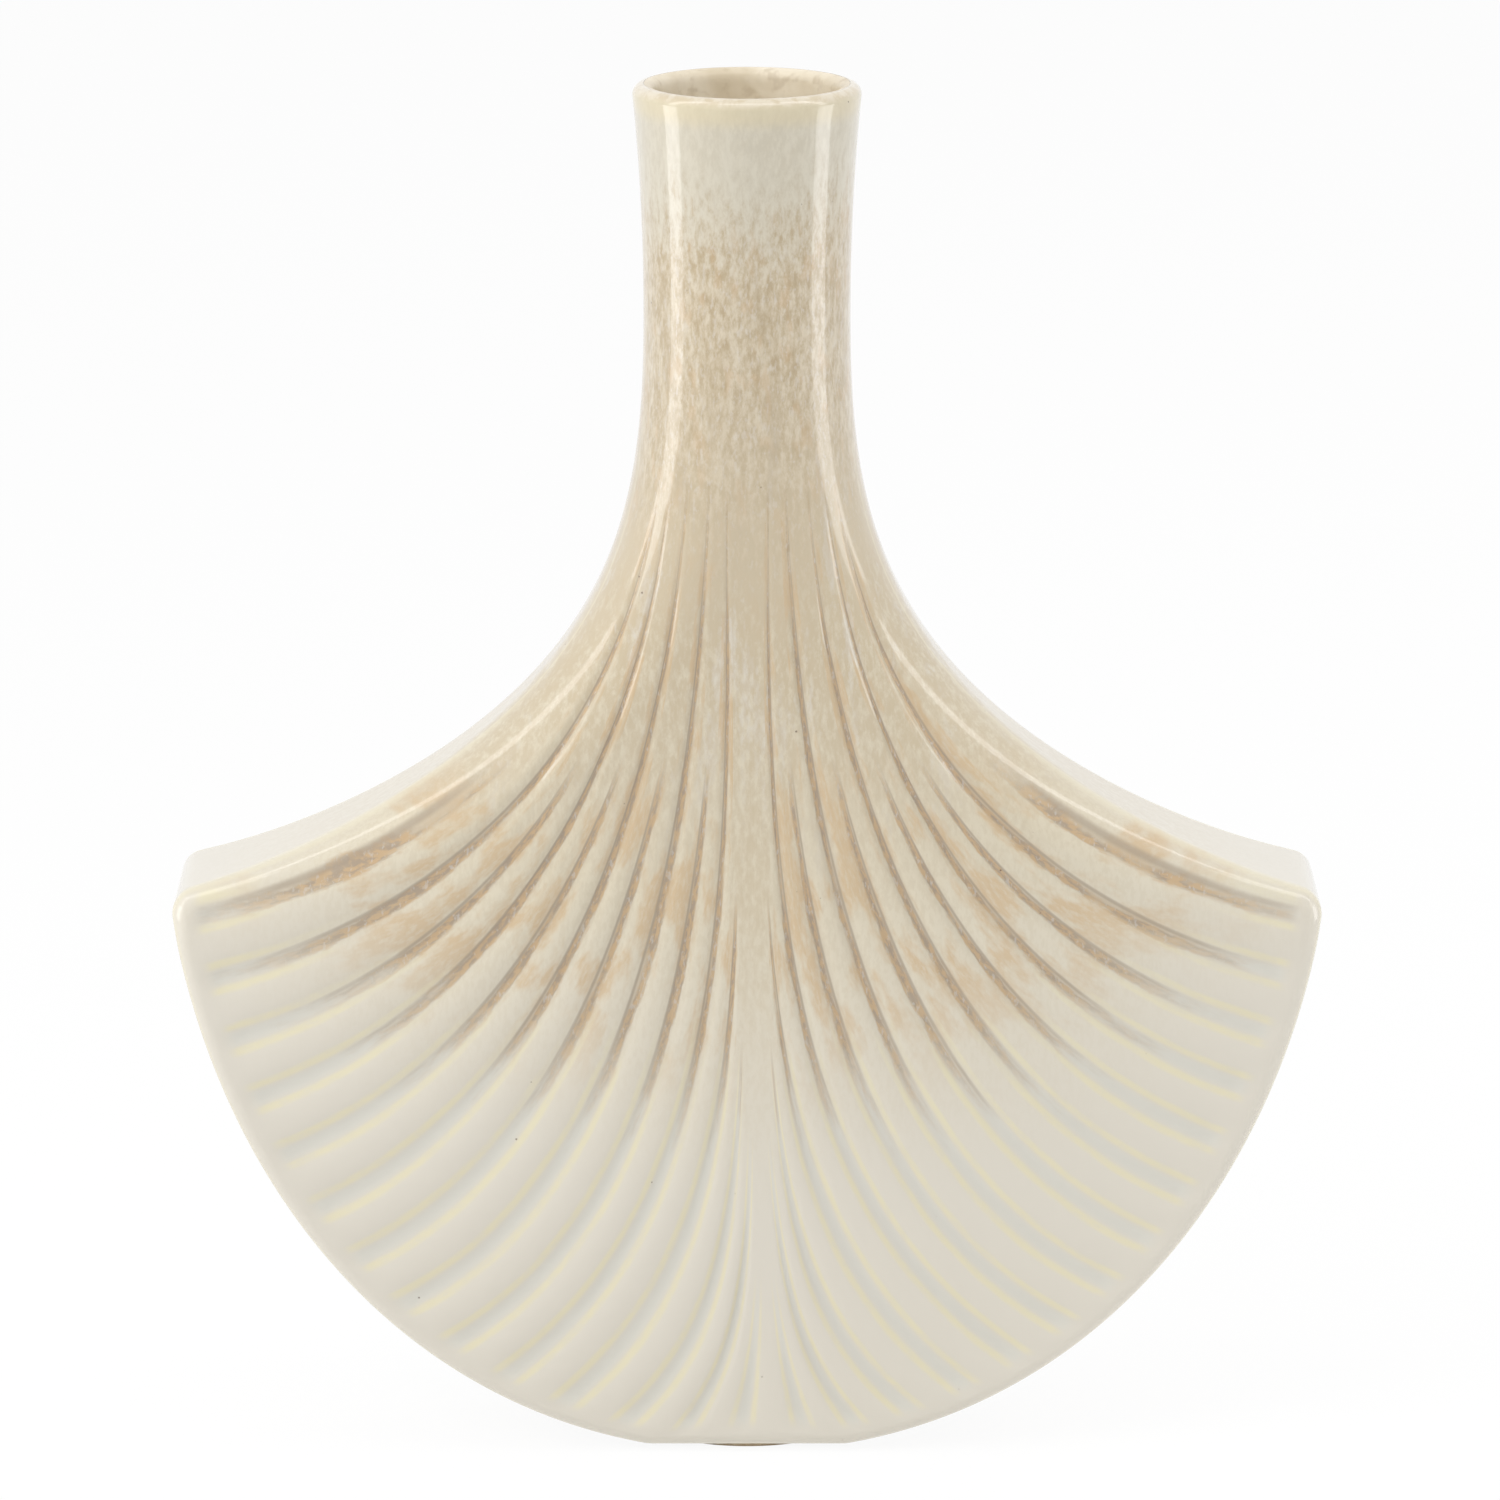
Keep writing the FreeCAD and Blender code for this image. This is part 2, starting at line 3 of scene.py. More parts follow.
import bmesh
import bpy
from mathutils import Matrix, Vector


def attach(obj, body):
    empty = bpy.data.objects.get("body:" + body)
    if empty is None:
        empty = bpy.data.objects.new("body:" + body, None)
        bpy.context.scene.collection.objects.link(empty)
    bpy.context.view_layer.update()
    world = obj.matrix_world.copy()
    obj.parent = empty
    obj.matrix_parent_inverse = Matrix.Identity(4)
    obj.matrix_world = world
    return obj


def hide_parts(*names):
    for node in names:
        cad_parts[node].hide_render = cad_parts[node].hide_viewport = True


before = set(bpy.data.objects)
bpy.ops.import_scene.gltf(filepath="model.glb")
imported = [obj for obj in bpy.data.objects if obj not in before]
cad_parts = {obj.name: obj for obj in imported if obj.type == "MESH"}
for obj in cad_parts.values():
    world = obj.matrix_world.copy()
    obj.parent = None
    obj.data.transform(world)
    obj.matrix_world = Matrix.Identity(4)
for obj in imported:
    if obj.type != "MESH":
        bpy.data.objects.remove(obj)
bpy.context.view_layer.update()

# Outer glaze: a layer of cream satin glaze fused over the whole outside of the fan and its neck.
# It is thin and tan on the neck and has run brown into the upper grooves. The groove bottoms carry
# painted shade, grey-blue low in the fan and tan higher up, and the upper grooves a fine painted
# shadow line along one side. Sizes are in millimetres until the mesh is made.

# Overall sizes in millimetres. The tip is where shoulder and rim would meet with no rounding.
height = 300.0
tip_half_width = 125.6
tip_height = 125.2
neck_length = 49.0
neck_radius = 22.4
mouth_radius = 24.7

# Thickness of the clay wall and of the glaze on both of its sides, with the gap left between
# layers. At the crown of the lip this glaze laps a little over the liner glaze.
clay_wall = 3.8
glaze_thickness = 0.5
bond_gap = 0.05
crown_overlap = 0.03

# Rounding of the body's edges, and of its two tips as seen from the front.
tip_corner_radius = 6.0
tip_edge_radius = 5.0
rim_edge_radius = 3.0
edge_blend_length = 12.0
shoulder_round_start = 25.0

# Bare clay foot: a flat oval pad that the vase stands on.
foot_height = 1.0

# Pleats: grooves in each face, as many in the left half as in the right.
grooves_per_half = 14
groove_depth = 1.0
ridge_crown = 0.3
full_depth_pitch = 7.0
groove_width_share = 0.82
narrow_groove_width_share = 0.95
first_groove_share = 0.041
last_groove_share = 0.977
edge_groove_share = 0.8
axis_lean = 6.0
long_groove_top = 214.0
short_groove_top = 152.0
groove_fade_length = 34.0
rim_fade_length = 5.0

# How far above a groove's relief its colour begins.
colour_lead = 14.0

# Heights at which the grooves nearest the axis begin, counted outwards.
axis_groove_tops = (36.0, 68.0, 88.0, 122.0)

# Shoulder: a curve of degree four from the base of the neck to the tip. The shares say how far
# each of its control points has gone outwards and downwards.
shoulder_out_shares = (0.0, 0.0, 0.062, 0.664, 1.0)
shoulder_down_shares = (0.0, 0.42, 0.692, 0.944, 1.0)

# Rim: a cubic curve from the tip to the middle of the base. The foot cuts off its lowest part.
rim_dip = 0.9
rim_out_shares = (1.0, 0.931, 0.568, 0.0)
rim_up_shares = (1.0, 0.464, 0.0, 0.0)

# Pleat lines, listed by the share of the rim at which they end: the share of a quarter turn at
# which each leaves the neck, its two handles as shares of the neck's height and of the half
# width, and its slope at the rim in degrees.
line_rim_shares = (0.0, 0.15, 0.3, 0.45, 0.6, 0.75, 0.9, 1.0)
line_neck_shares = (0.0, 0.05, 0.12, 0.2, 0.33, 0.44, 0.5, 0.52)
line_upper_shares = (0.85, 0.775, 0.44, 0.4, 0.46, 0.46, 0.43, 0.43)
line_lower_shares = (0.29, 0.33, 0.59, 0.54, 0.42, 0.34, 0.3, 0.16)
line_end_slopes = (90.0, 42.0, 34.0, 23.0, 20.0, 16.0, 12.0, 12.0)

# How finely the surfaces are divided: places across one pleat, columns on the rounded edge and
# on the side wall, rows close to the rim, down the pleats, up the neck and round the lip.
pleat_place_shares = (-0.5, -0.4, -0.3, -0.22, -0.15, -0.08, 0.0, 0.08, 0.15, 0.22, 0.3, 0.4)
edge_neck_share = 0.8
edge_columns = 16
wall_columns = 8
rim_rows = 10
rim_rows_length = 3.4
line_rows = 90
neck_rows = 20
lip_rows = 10

# Steps of the outline curves, and of the search for the outline's point nearest to a place.
outline_steps = 300
corner_steps = 24
search_stride = 15
curve_step = 0.0001

# Which share of a pitch away the next line is read, to find how closely the pleats lie.
pitches_beside = 4

# Distance from the edge that stands for places where no edge is near, and the shift that keeps
# the rear's patterns apart from the front's.
far_from_edge = 30.0
rear_shift = 100.0

# Millimetres in a metre, and how near, in metres, two points of the mesh become one.
per_metre = 1000.0
weld_distance = 0.00001

quarter_turn = math.pi / 2
neck_base_height = height - neck_length
half_depth = neck_radius
lip_radius = (clay_wall + 2.0 * (glaze_thickness + bond_gap)) / 2.0
lip_ring_radius = mouth_radius - lip_radius
lip_height = height - lip_radius
groove_pitch_share = (last_groove_share - first_groove_share) / (grooves_per_half - 1)
wall_turn = (1.0 - edge_neck_share) * quarter_turn


def mix(start, end, share):
    """Value at a share of the way from start to end."""
    return start + (end - start) * share


def smooth(share):
    """Rise from 0 to 1 with level ends."""
    share = min(max(share, 0.0), 1.0)
    return share * share * (3.0 - 2.0 * share)


def read_list(entries, place):
    """Read a list of number tuples at a place between two of its entries."""
    index = min(int(place), len(entries) - 2)
    return tuple(mix(a, b, place - index) for a, b in zip(entries[index], entries[index + 1]))


def bezier(points, share):
    """Point of a Bezier curve, by repeated mixing of its control points."""
    while len(points) > 1:
        pairs = zip(points, points[1:])
        points = [(mix(a[0], b[0], share), mix(a[1], b[1], share)) for a, b in pairs]
    return points[0]


def table_value(values, place):
    """Smooth curve through a table of the pleat lines, read at a share of the rim."""
    places = line_rim_shares
    last = len(places) - 1
    index = 0
    while index < last - 1 and place > places[index + 1]:
        index += 1
    span = places[index + 1] - places[index]
    share = (place - places[index]) / span
    slopes = []
    for entry in (index, index + 1):
        before = max(entry - 1, 0)
        after = min(entry + 1, last)
        slopes.append((values[after] - values[before]) / (places[after] - places[before]))
    rise = mix(values[index], values[index + 1], smooth(share))
    bend = span * share * (1.0 - share)
    return rise + bend * (slopes[0] * (1.0 - share) - slopes[1] * share)


last_groove_neck_share = table_value(line_neck_shares, last_groove_share)


def shoulder_point(share):
    """Point of the shoulder curve, from the base of the neck at 0 to the tip at 1."""
    shares = zip(shoulder_out_shares, shoulder_down_shares)
    points = [
        (mix(neck_radius, tip_half_width, out), mix(neck_base_height, tip_height, down))
        for out, down in shares
    ]
    return bezier(points, share)


def rim_point(share):
    """Point of the rim curve, from the tip at 0 to the middle of the base at 1."""
    shares = zip(rim_out_shares, rim_up_shares)
    points = [(tip_half_width * out, mix(-rim_dip, tip_height, up)) for out, up in shares]
    return bezier(points, share)


def inset_point(curve, share, inset):
    """Point of an outline curve moved into the body, with the outward direction there."""
    before = curve(share - curve_step)
    after = curve(share + curve_step)
    along_x = after[0] - before[0]
    along_z = after[1] - before[1]
    length = math.hypot(along_x, along_z)
    out_x = -along_z / length
    out_z = along_x / length
    x, z = curve(share)
    return (x - out_x * inset, z - out_z * inset, out_x, out_z)


def corner_shares(inset):
    """Where the shoulder and the rim, both moved in by an inset, cross each other."""
    shoulder_share = 1.0
    rim_share = 0.0
    for _ in range(corner_steps):
        ax, az = inset_point(shoulder_point, shoulder_share, inset)[:2]
        bx, bz = inset_point(rim_point, rim_share, inset)[:2]
        a_next = inset_point(shoulder_point, shoulder_share + curve_step, inset)
        b_next = inset_point(rim_point, rim_share + curve_step, inset)
        ux = (a_next[0] - ax) / curve_step
        uz = (a_next[1] - az) / curve_step
        vx = (b_next[0] - bx) / curve_step
        vz = (b_next[1] - bz) / curve_step
        determinant = ux * vz - uz * vx
        shoulder_share += ((bx - ax) * vz - (bz - az) * vx) / determinant
        rim_share += ((bx - ax) * uz - (bz - az) * ux) / determinant
    return shoulder_share, rim_share


class Run:
    """A line of points that can be read at any length along it."""

    def __init__(self, points):
        self.points = points
        self.lengths = [0.0]
        for a, b in zip(points, points[1:]):
            self.lengths.append(self.lengths[-1] + math.hypot(b[0] - a[0], b[1] - a[1]))
        self.total = self.lengths[-1]

    def at(self, length):
        """Read the line at a length from its start."""
        length = min(max(length, 0.0), self.total)
        low = 0
        high = len(self.lengths) - 1
        while high - low > 1:
            middle = (low + high) // 2
            if self.lengths[middle] <= length:
                low = middle
            else:
                high = middle
        share = (length - self.lengths[low]) / (self.lengths[high] - self.lengths[low])
        return tuple(mix(a, b, share) for a, b in zip(self.points[low], self.points[high]))


class Place:
    """One point of the front surface, its outward direction and the depth of the pleats there."""

    def __init__(self, x, y, z, out, relief=0.0, from_edge=far_from_edge):
        self.point = Vector((x, y, z))
        self.out = out
        self.relief = relief
        self.from_edge = from_edge
        self.shown = 0.0

    def on_mesh(self, mirror):
        """The point in metres, with the pleats' relief, on the front or mirrored to the rear."""
        point = (self.point - self.out * self.relief) / per_metre
        return Vector((point.x, point.y * mirror, point.z))


def groove_relief(rim_share, edge_share, pitch, z, rim_distance):
    """Depth of the pleats below the plain face, and how far their colours show, from 0 to 1."""
    place = (rim_share - first_groove_share) / groove_pitch_share
    groove = min(max(round(place), 0), grooves_per_half - 1)
    across = abs(place - groove) if edge_share == 0.0 else edge_share * edge_groove_share
    if groove < len(axis_groove_tops):
        top = axis_groove_tops[groove]
    elif (groove - len(axis_groove_tops)) % 2 == 0:
        top = long_groove_top
    else:
        top = short_groove_top
    begun = smooth((top - z) / groove_fade_length)
    kept = smooth((rim_distance - rim_rows_length) / rim_fade_length)
    grown = min(pitch / full_depth_pitch, 1.0)
    width_share = mix(narrow_groove_width_share, groove_width_share, grown)
    channel = 1.0 - smooth(2.0 * across / width_share)
    crown = max(1.0 - 2.0 * across, 0.0) ** 2
    shown = smooth((top + colour_lead - z) / groove_fade_length) * kept
    return (groove_depth * channel + ridge_crown * crown) * begun * kept * grown, shown


def neck_place(side, turn_share, rise_share):
    """Point on the flared neck, from its base at rise 0 to where the lip begins at rise 1."""
    turn = turn_share * quarter_turn
    out = Vector((side * math.sin(turn), -math.cos(turn), 0.0))
    radius = mix(neck_radius, mouth_radius, rise_share * rise_share)
    z = mix(neck_base_height, lip_height, rise_share)
    return Place(radius * out.x, radius * out.y, z, out)


def lip_place(side, turn_share, lip_share):
    """Point on the rounded lip, from the neck at share 0 to just past its crown at share 1."""
    turn = turn_share * quarter_turn
    tilt = lip_share * (quarter_turn + crown_overlap / lip_radius)
    radius = lip_ring_radius + lip_radius * math.cos(tilt)
    z = lip_height + lip_radius * math.sin(tilt)
    level = math.cos(tilt)
    out = Vector((side * math.sin(turn) * level, -math.cos(turn) * level, math.sin(tilt)))
    return Place(side * radius * math.sin(turn), -radius * math.cos(turn), z, out)


def above_body(side, turn_share):
    """Places of one column above the body, from the lip's crown down to the base of the neck."""
    lip = [lip_place(side, turn_share, 1.0 - row / lip_rows) for row in range(lip_rows)]
    neck = [neck_place(side, turn_share, 1.0 - row / neck_rows) for row in range(neck_rows)]
    return lip + neck


class Form:
    """The flat body: its half outline, how round its edge is, and the places on its surface."""

    def __init__(self):
        shoulder_share, rim_share = corner_shares(tip_corner_radius)
        x, z, out_x, out_z = inset_point(shoulder_point, shoulder_share, tip_corner_radius)
        start_turn = math.atan2(out_z, out_x)
        out_x, out_z = inset_point(rim_point, rim_share, 0.0)[2:]
        end_turn = math.atan2(out_z, out_x)
        corner = []
        for step in range(corner_steps + 1):
            turn = mix(start_turn, end_turn, step / corner_steps)
            out = (math.cos(turn), math.sin(turn))
            corner.append((x + tip_corner_radius * out[0], z + tip_corner_radius * out[1]) + out)
        middle = corner_steps // 2
        self.tip = corner[middle]
        shoulder = []
        rim = []
        for step in range(outline_steps):
            share = shoulder_share * step / outline_steps
            shoulder.append(inset_point(shoulder_point, share, 0.0))
            share = mix(rim_share, 1.0, (step + 1) / outline_steps)
            x, z, out_x, out_z = inset_point(rim_point, share, 0.0)
            if z < foot_height:
                z, out_x, out_z = foot_height, 0.0, -1.0
            rim.append((x, z, out_x, out_z))
        shoulder = [self.with_edge_radius(p, True) for p in shoulder + corner[: middle + 1]]
        rim = [self.with_edge_radius(p, False) for p in corner[middle:] + rim]
        self.outline = shoulder + rim[1:]
        self.shoulder = Run(shoulder)
        self.rim = Run(rim[::-1])

    def with_edge_radius(self, outline_point, on_shoulder):
        """Add how round the edge is: as the neck at the top, tighter at the tip and the rim."""
        x, z = outline_point[:2]
        if on_shoulder:
            share = (x - shoulder_round_start) / (self.tip[0] - shoulder_round_start)
            radius = mix(neck_radius, tip_edge_radius, min(max(share, 0.0), 1.0))
        else:
            away = math.hypot(x - self.tip[0], z - self.tip[1])
            radius = mix(tip_edge_radius, rim_edge_radius, smooth(away / edge_blend_length))
        return outline_point + (radius,)

    def nearest(self, x, z):
        """Distance to the outline, with the outward direction and the edge's radius there."""
        outline = self.outline
        last = len(outline) - 1

        def squared(index):
            return (outline[index][0] - x) ** 2 + (outline[index][1] - z) ** 2

        best = min(range(0, last + 1, search_stride), key=squared)
        near = range(max(best - search_stride, 0), min(best + search_stride, last) + 1)
        best = min(near, key=squared)
        found = []
        for index in range(max(best - 1, 0), min(best + 1, last)):
            a = outline[index]
            b = outline[index + 1]
            span = (b[0] - a[0]) ** 2 + (b[1] - a[1]) ** 2
            share = ((x - a[0]) * (b[0] - a[0]) + (z - a[1]) * (b[1] - a[1])) / span
            share = min(max(share, 0.0), 1.0)
            on_line = [mix(p, q, share) for p, q in zip(a, b)]
            distance = math.hypot(on_line[0] - x, on_line[1] - z)
            found.append((distance, on_line[2], on_line[3], on_line[4]))
        return min(found)

    def face_place(self, x, z, relief):
        """Point of the front face, its depth taken from how near the outline is."""
        side = -1.0 if x < 0.0 else 1.0
        distance, out_x, out_z, radius = self.nearest(side * x, z)
        if distance >= radius:
            return Place(x, -half_depth, z, Vector((0.0, -1.0, 0.0)), relief, distance)
        turn = math.acos((radius - distance) / radius)
        y = radius - half_depth - radius * math.sin(turn)
        out = Vector((side * out_x * math.cos(turn), -math.sin(turn), out_z * math.cos(turn)))
        return Place(x, y, z, out, relief, distance)

    def wall_place(self, side, outline_point, share):
        """Point of the side wall, from the middle plane at share 0 to the face at share 1."""
        x, z, out_x, out_z, radius = outline_point
        wall = half_depth - radius
        turn = wall_turn * (1.0 - smooth(wall / (2.0 * neck_radius * wall_turn)))
        length = share * (wall + radius * turn)
        turned = max(length - wall, 0.0) / radius
        inwards = radius * (1.0 - math.cos(turned))
        y = -min(length, wall) - radius * math.sin(turned)
        out = Vector((side * out_x * math.cos(turned), -math.sin(turned), out_z * math.cos(turned)))
        from_edge = -(1.0 - share) * (wall + radius * turn)
        return Place(side * (x - out_x * inwards), y, z - out_z * inwards, out, 0.0, from_edge)

    def rim_at(self, side, rim_share):
        """Point of the rim at a share of the way from the pleats' axis to the tip."""
        lean = side * axis_lean
        length = lean + (self.rim.total - lean) * rim_share
        bottom = self.rim.at(max(length, 0.0))
        return (bottom[0] + min(length, 0.0),) + bottom[1:]

    def shoulder_at(self, rows, place):
        """Point of the shoulder at a place in the list of rows."""
        fixed, share = read_list(rows, place)
        return self.shoulder.at((self.shoulder.total - rim_rows_length) * (1.0 - share)
                                + rim_rows_length - fixed)

    def lean_at(self, z):
        """How far the pleats' axis lies to the right at a height."""
        down = (neck_base_height - z) / (neck_base_height - foot_height)
        return axis_lean * down * down

    def pleat_line(self, side, rim_share, neck_share):
        """One pleat line from the base of the neck to the rim."""
        start_x = half_depth * math.sin(neck_share * quarter_turn)
        end_x, end_z = self.rim_at(side, rim_share)[:2]
        end_x -= side * self.lean_at(end_z)
        slope = math.radians(table_value(line_end_slopes, rim_share))
        upper = neck_base_height * table_value(line_upper_shares, rim_share)
        lower = tip_half_width * table_value(line_lower_shares, rim_share)
        points = [
            (start_x, neck_base_height),
            (start_x, neck_base_height - upper),
            (end_x - lower * math.cos(slope), end_z + lower * math.sin(slope)),
            (end_x, end_z),
        ]
        curve = [bezier(points, step / outline_steps) for step in range(outline_steps + 1)]
        return Run([(x + side * self.lean_at(z), z) for x, z in curve])

    def column_shares(self):
        """Rim share, neck share and edge share of each column, from the axis out to the edge."""
        places = [g + place for g in range(grooves_per_half) for place in pleat_place_shares]
        shares = [first_groove_share + place * groove_pitch_share for place in places]
        shares = [share for share in shares if 0.0 < share < last_groove_share]
        shares = [0.0] + shares + [last_groove_share]
        columns = [(share, table_value(line_neck_shares, share), 0.0) for share in shares]
        for column in range(1, edge_columns + 1):
            share = column / edge_columns
            rim_share = mix(last_groove_share, 1.0, 1.0 - (1.0 - share) ** 2)
            columns.append((rim_share, mix(last_groove_neck_share, edge_neck_share, share), share))
        return columns

    def row_shares(self):
        """Rows from the neck to the rim: a fixed length plus a share of the line's other length."""
        rows = [(rim_rows_length, 1.0 - row / line_rows) for row in range(line_rows)]
        for row in range(rim_rows + 1):
            rows.append((rim_rows_length * (1.0 - row / rim_rows) ** 2, 0.0))
        return rows

    def face_column(self, side, column, rows, edge_line):
        """Places of one column of the front face, from the base of the neck to the rim."""
        rim_share, neck_share, edge_share = column
        inner_x = math.sin(last_groove_neck_share * quarter_turn)
        outer_x = math.sin(edge_neck_share * quarter_turn)
        neck_part = (math.sin(neck_share * quarter_turn) - inner_x) / (outer_x - inner_x)
        rim_part = (rim_share - last_groove_share) / (1.0 - last_groove_share)
        line = edge_line if edge_share > 0.0 else self.pleat_line(side, rim_share, neck_share)
        inwards = -1.0 if rim_share > groove_pitch_share else 1.0
        beside_share = min(rim_share, last_groove_share)
        beside_share += inwards * groove_pitch_share / pitches_beside
        beside_neck_share = table_value(line_neck_shares, beside_share)
        neighbour = self.pleat_line(side, beside_share, beside_neck_share)
        on_rim = self.rim_at(side, rim_share)
        line_end = line.at(line.total)
        off_x = on_rim[0] - mix(line_end[0], self.tip[0], rim_part)
        off_z = on_rim[1] - mix(line_end[1], self.tip[1], rim_part)
        places = [neck_place(side, neck_share, 0.0)]
        for row, (fixed, share) in enumerate(rows[1:-1], 1):
            distance = fixed + share * (line.total - rim_rows_length)
            line_x, line_z = line.at(line.total - distance)
            x, z = line_x, line_z
            if edge_share > 0.0:
                edge = self.wall_place(1.0, self.shoulder_at(rows, row), 1.0).point
                part = mix(rim_part, neck_part, smooth(2.0 * share - 1.0))
                kept = 1.0 - smooth(distance / edge_blend_length)
                x = mix(x, edge.x, part) + off_x * kept
                z = mix(z, edge.z, part) + off_z * kept
            beside = neighbour.at(neighbour.total * (1.0 - distance / line.total))
            pitch = pitches_beside * math.hypot(beside[0] - line_x, beside[1] - line_z)
            relief, shown = groove_relief(rim_share, edge_share, pitch, z, distance)
            places.append(self.face_place(side * x, z, relief))
            places[-1].shown = shown
        places.append(self.wall_place(side, on_rim, 1.0))
        return places

    def half(self, side):
        """Columns of places of one half, from the pleats' axis to the middle plane."""
        shares = self.column_shares()
        rows = self.row_shares()
        edge_line = self.pleat_line(side, last_groove_share, last_groove_neck_share)
        last_column = len(shares) - 1
        last_row = len(rows) - 1
        grid = []
        for column in range(last_column + wall_columns + 1):
            over = max(column - last_column, 0)
            places = []
            turn_share = mix(edge_neck_share, 1.0, over / wall_columns)
            if column < last_column:
                places = self.face_column(side, shares[column], rows, edge_line)
                turn_share = shares[column][1]
            for row in range(len(places), last_row + wall_columns + 1):
                under = max(row - last_row, 0)
                if row == 0:
                    places.append(neck_place(side, turn_share, 0.0))
                elif over >= under:
                    edge = self.shoulder_at(rows, row * last_row / (last_row + over))
                    places.append(self.wall_place(side, edge, 1.0 - over / wall_columns))
                else:
                    rim_share = read_list(shares, column * last_column / (last_column + under))[0]
                    edge = self.rim_at(side, rim_share)
                    places.append(self.wall_place(side, edge, 1.0 - under / wall_columns))
            grid.append(above_body(side, turn_share) + places)
        return grid

    def front(self):
        """Columns of the whole front, from its left edge over the pleats' axis to its right."""
        return self.half(-1.0)[:0:-1] + self.half(1.0)


def glaze_object():
    """The glaze as one mesh: front and rear alike, with what the material needs at each point."""
    form = Form()
    shares = form.column_shares()
    columns = form.front()
    middle = len(columns) // 2
    last_column = len(shares) - 1
    points = []
    faces = []
    values = {"shown": [], "across": [], "from_edge": [], "height": []}
    for mirror in (1.0, -1.0):
        start = len(points)
        for column, places in enumerate(columns):
            step = column - middle
            place = shares[min(abs(step), last_column)][0] / groove_pitch_share
            place += max(abs(step) - last_column, 0) / wall_columns
            across = math.copysign(place, step) + (rear_shift if mirror < 0.0 else 0.0)
            for spot in places:
                points.append(spot.on_mesh(mirror))
                values["shown"].append(spot.shown)
                values["across"].append(across)
                values["from_edge"].append(spot.from_edge)
                values["height"].append(spot.point.z / height)
        count = len(columns[0])
        for column in range(len(columns) - 1):
            for row in range(count - 1):
                a = start + column * count + row
                corners = (a, a + 1, a + count + 1, a + count)
                faces.append(corners if mirror > 0.0 else corners[::-1])
    mesh = bpy.data.meshes.new("glaze_skin")
    mesh.from_pydata(points, [], faces)
    for name, list_of_values in values.items():
        attribute = mesh.attributes.new(name, "FLOAT", "POINT")
        attribute.data.foreach_set("value", list_of_values)
    form_mesh = bmesh.new()
    form_mesh.from_mesh(mesh)
    bmesh.ops.remove_doubles(form_mesh, verts=form_mesh.verts, dist=weld_distance)
    bmesh.ops.recalc_face_normals(form_mesh, faces=form_mesh.faces)
    form_mesh.to_mesh(mesh)
    form_mesh.free()
    mesh.polygons.foreach_set("use_smooth", [True] * len(mesh.polygons))
    skin = bpy.data.objects.new("glaze_skin", mesh)
    bpy.context.scene.collection.objects.link(skin)
    return skin


class Nodes:
    """Adds nodes to the tree of one material or world and wires them."""

    def __init__(self, owner):
        owner.use_nodes = True
        self.owner = owner
        self.tree = owner.node_tree
        self.tree.nodes.clear()

    def add(self, kind, settings=None, output=0, **sockets):
        """Add any node: its settings first, then the values or links of its sockets.

        A socket is named with underscores for spaces, or by its number after an underscore.
        """
        node = self.tree.nodes.new(kind)
        for name, value in (settings or {}).items():
            setattr(node, name, value)
        for name, value in sockets.items():
            socket = node.inputs[int(name[1:]) if name[0] == "_" else name.replace("_", " ")]
            if isinstance(value, Socket):
                self.tree.links.new(value.socket, socket)
            elif value is not None:
                socket.default_value = value
        return Socket(self, node.outputs[output]) if node.outputs else None

    def blend(self, factor, first, second):
        """Mix two colours."""
        settings = {"data_type": "RGBA"}
        return self.add("ShaderNodeMix", settings, 2, _0=factor, _6=first, _7=second)

    def ramp(self, value, low, high, out_low=0.0, out_high=1.0):
        """Map a value from one range to another with smooth ends."""
        settings = {"interpolation_type": "SMOOTHSTEP"}
        ends = {"_1": low, "_2": high, "_3": out_low, "_4": out_high}
        return self.add("ShaderNodeMapRange", settings, _0=value, **ends)

    def read(self, name):
        """A value that the mesh holds for each of its points."""
        return self.add("ShaderNodeAttribute", {"attribute_name": name}, "Fac")

    def stretched(self, vector, shares):
        """A place with each of its directions scaled by a share of its own."""
        return self.add("ShaderNodeVectorMath", {"operation": "MULTIPLY"}, _0=vector, _1=shares)

    def noise(self, vector, scale, detail, roughness):
        """A cloudy pattern from 0 to 1, most of it near the middle."""
        grain = {"Scale": scale, "Detail": detail, "Roughness": roughness}
        return self.add("ShaderNodeTexNoise", Vector=vector, **grain)

    def surface(self, colour, roughness, relief=None, relief_depth=None, **constants):
        """A plain shader, with a bump where a relief is given."""
        normal = None
        if relief is not None:
            bump = {"Height": relief, "Distance": relief_depth, "Strength": 1.0}
            normal = self.add("ShaderNodeBump", **bump)
        sockets = {"Base_Color": colour, "Roughness": roughness, "Normal": normal}
        return self.add("ShaderNodeBsdfPrincipled", **sockets, **constants)

    def finish(self, shader, kind="ShaderNodeOutputMaterial"):
        """Send the shader to the output and give the finished material or world."""
        self.add(kind, Surface=shader)
        return self.owner


class Socket:
    """A node's output, used in expressions as a number is."""

    def __init__(self, nodes, socket):
        self.nodes = nodes
        self.socket = socket

    def math(self, operation, other=None):
        return self.nodes.add("ShaderNodeMath", {"operation": operation}, _0=self, _1=other)

    def swing(self, amount):
        """A pattern's departure from its middle, at most half the amount either way."""
        return (self - 0.5) * amount

    def __add__(self, other):
        return self.math("ADD", other)

    __radd__ = __add__

    def __mul__(self, other):
        return self.math("MULTIPLY", other)

    __rmul__ = __mul__

    def __sub__(self, other):
        return self.math("SUBTRACT", other)

    def __rsub__(self, other):
        return self.nodes.add("ShaderNodeMath", {"operation": "SUBTRACT"}, _0=other, _1=self)

    def __abs__(self):
        return self.math("ABSOLUTE")


def srgb(red, green, blue):
    """A colour given as three numbers from 0 to 255, turned into what a shader takes."""
    shares = [value / 255.0 for value in (red, green, blue)]
    linear = [v / 12.92 if v <= 0.04045 else ((v + 0.055) / 1.055) ** 2.4 for v in shares]
    return (*linear, 1.0)


